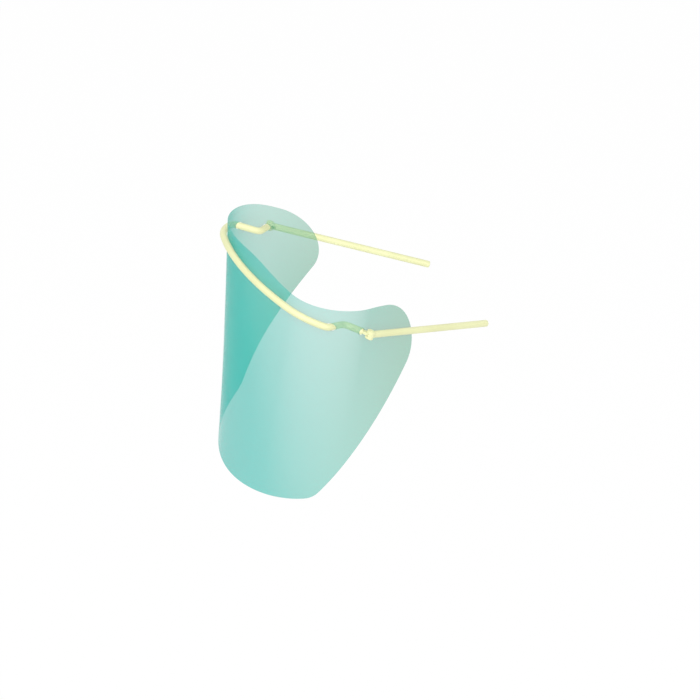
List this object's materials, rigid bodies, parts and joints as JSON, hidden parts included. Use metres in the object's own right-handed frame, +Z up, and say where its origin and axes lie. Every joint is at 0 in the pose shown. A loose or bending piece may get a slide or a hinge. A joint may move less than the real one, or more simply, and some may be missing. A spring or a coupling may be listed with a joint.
{
  "type": "disposable face shield with folding temples",
  "caption": "Curved sheet of green tinted film slotted on a pale yellow spectacle-like frame of round rods, with temples that fold; shields the face from splashes and chips.",
  "frame": {"origin": "midway between the two hinge axes, where the frame holds the wearer's head", "axes": "+Z up as worn, -Y the way the wearer looks, +X the wearer's left"},
  "size_m": [0.1767, 0.1752, 0.1946],
  "materials": {
    "tinted_film": "thin clear polyester film with a blue-green tint, glossy",
    "yellow_rod": "pale yellow extruded plastic rod, satin",
    "hinge_pin": "pale yellow moulded plastic, satin"
  },
  "bodies": {
    "frame": {"brow_bar": "yellow_rod", "film_visor": "tinted_film"},
    "left_temple": {"left_temple": "yellow_rod", "left_hinge_pin": "hinge_pin"},
    "right_temple": {"right_temple": "yellow_rod", "right_hinge_pin": "hinge_pin"}
  },
  "joints": [
    {"name": "left_temple_fold", "type": "hinge", "parent": "frame", "child": "left_temple", "pos_m": [0.079, 0, 0], "axis": [0.0384, 0.3755, 0.926], "range_deg": [-20, 70], "deforming": ["film_visor"]},
    {"name": "right_temple_fold", "type": "hinge", "parent": "frame", "child": "right_temple", "pos_m": [-0.079, 0, 0], "axis": [-0.0384, -0.3537, -0.9346], "range_deg": [-20, 70], "deforming": ["film_visor"]}
  ]
}
